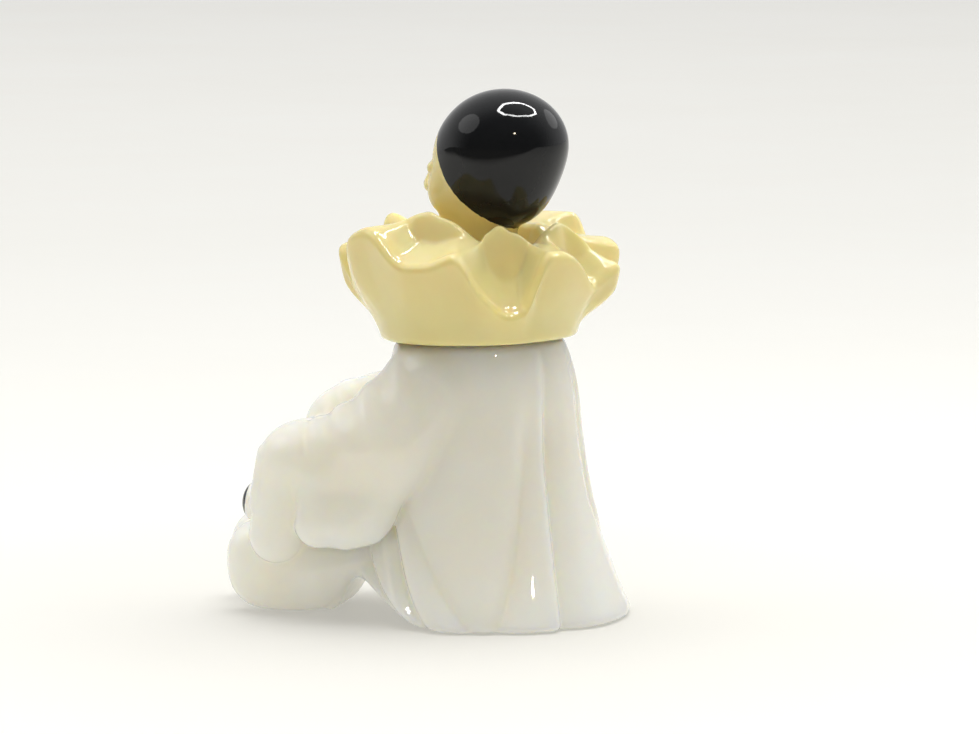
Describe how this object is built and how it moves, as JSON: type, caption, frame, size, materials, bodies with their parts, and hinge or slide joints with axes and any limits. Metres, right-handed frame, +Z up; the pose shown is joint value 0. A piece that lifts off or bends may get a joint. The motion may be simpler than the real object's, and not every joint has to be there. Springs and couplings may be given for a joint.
{
  "type": "figural clown bottle",
  "caption": "Opal glass bottle moulded as a seated clown in a loose smock, with a cream screw cap moulded as a frilled ruff and a head in a black skullcap.",
  "frame": {"origin": "on the floor, under the middle of the shoulder that carries the neck", "axes": "+Z up, the figure faces -Y, its left side is +X"},
  "size_m": [0.0577, 0.087, 0.109],
  "materials": {
    "opal_glass": "glossy translucent opal glass, a blackened crown on each raised stud",
    "cream_plastic": "glossy cream plastic, glossy black skullcap"
  },
  "bodies": {
    "root": {"bottle": "opal_glass", "ruff_and_head_cap": "cream_plastic"}
  },
  "joints": []
}
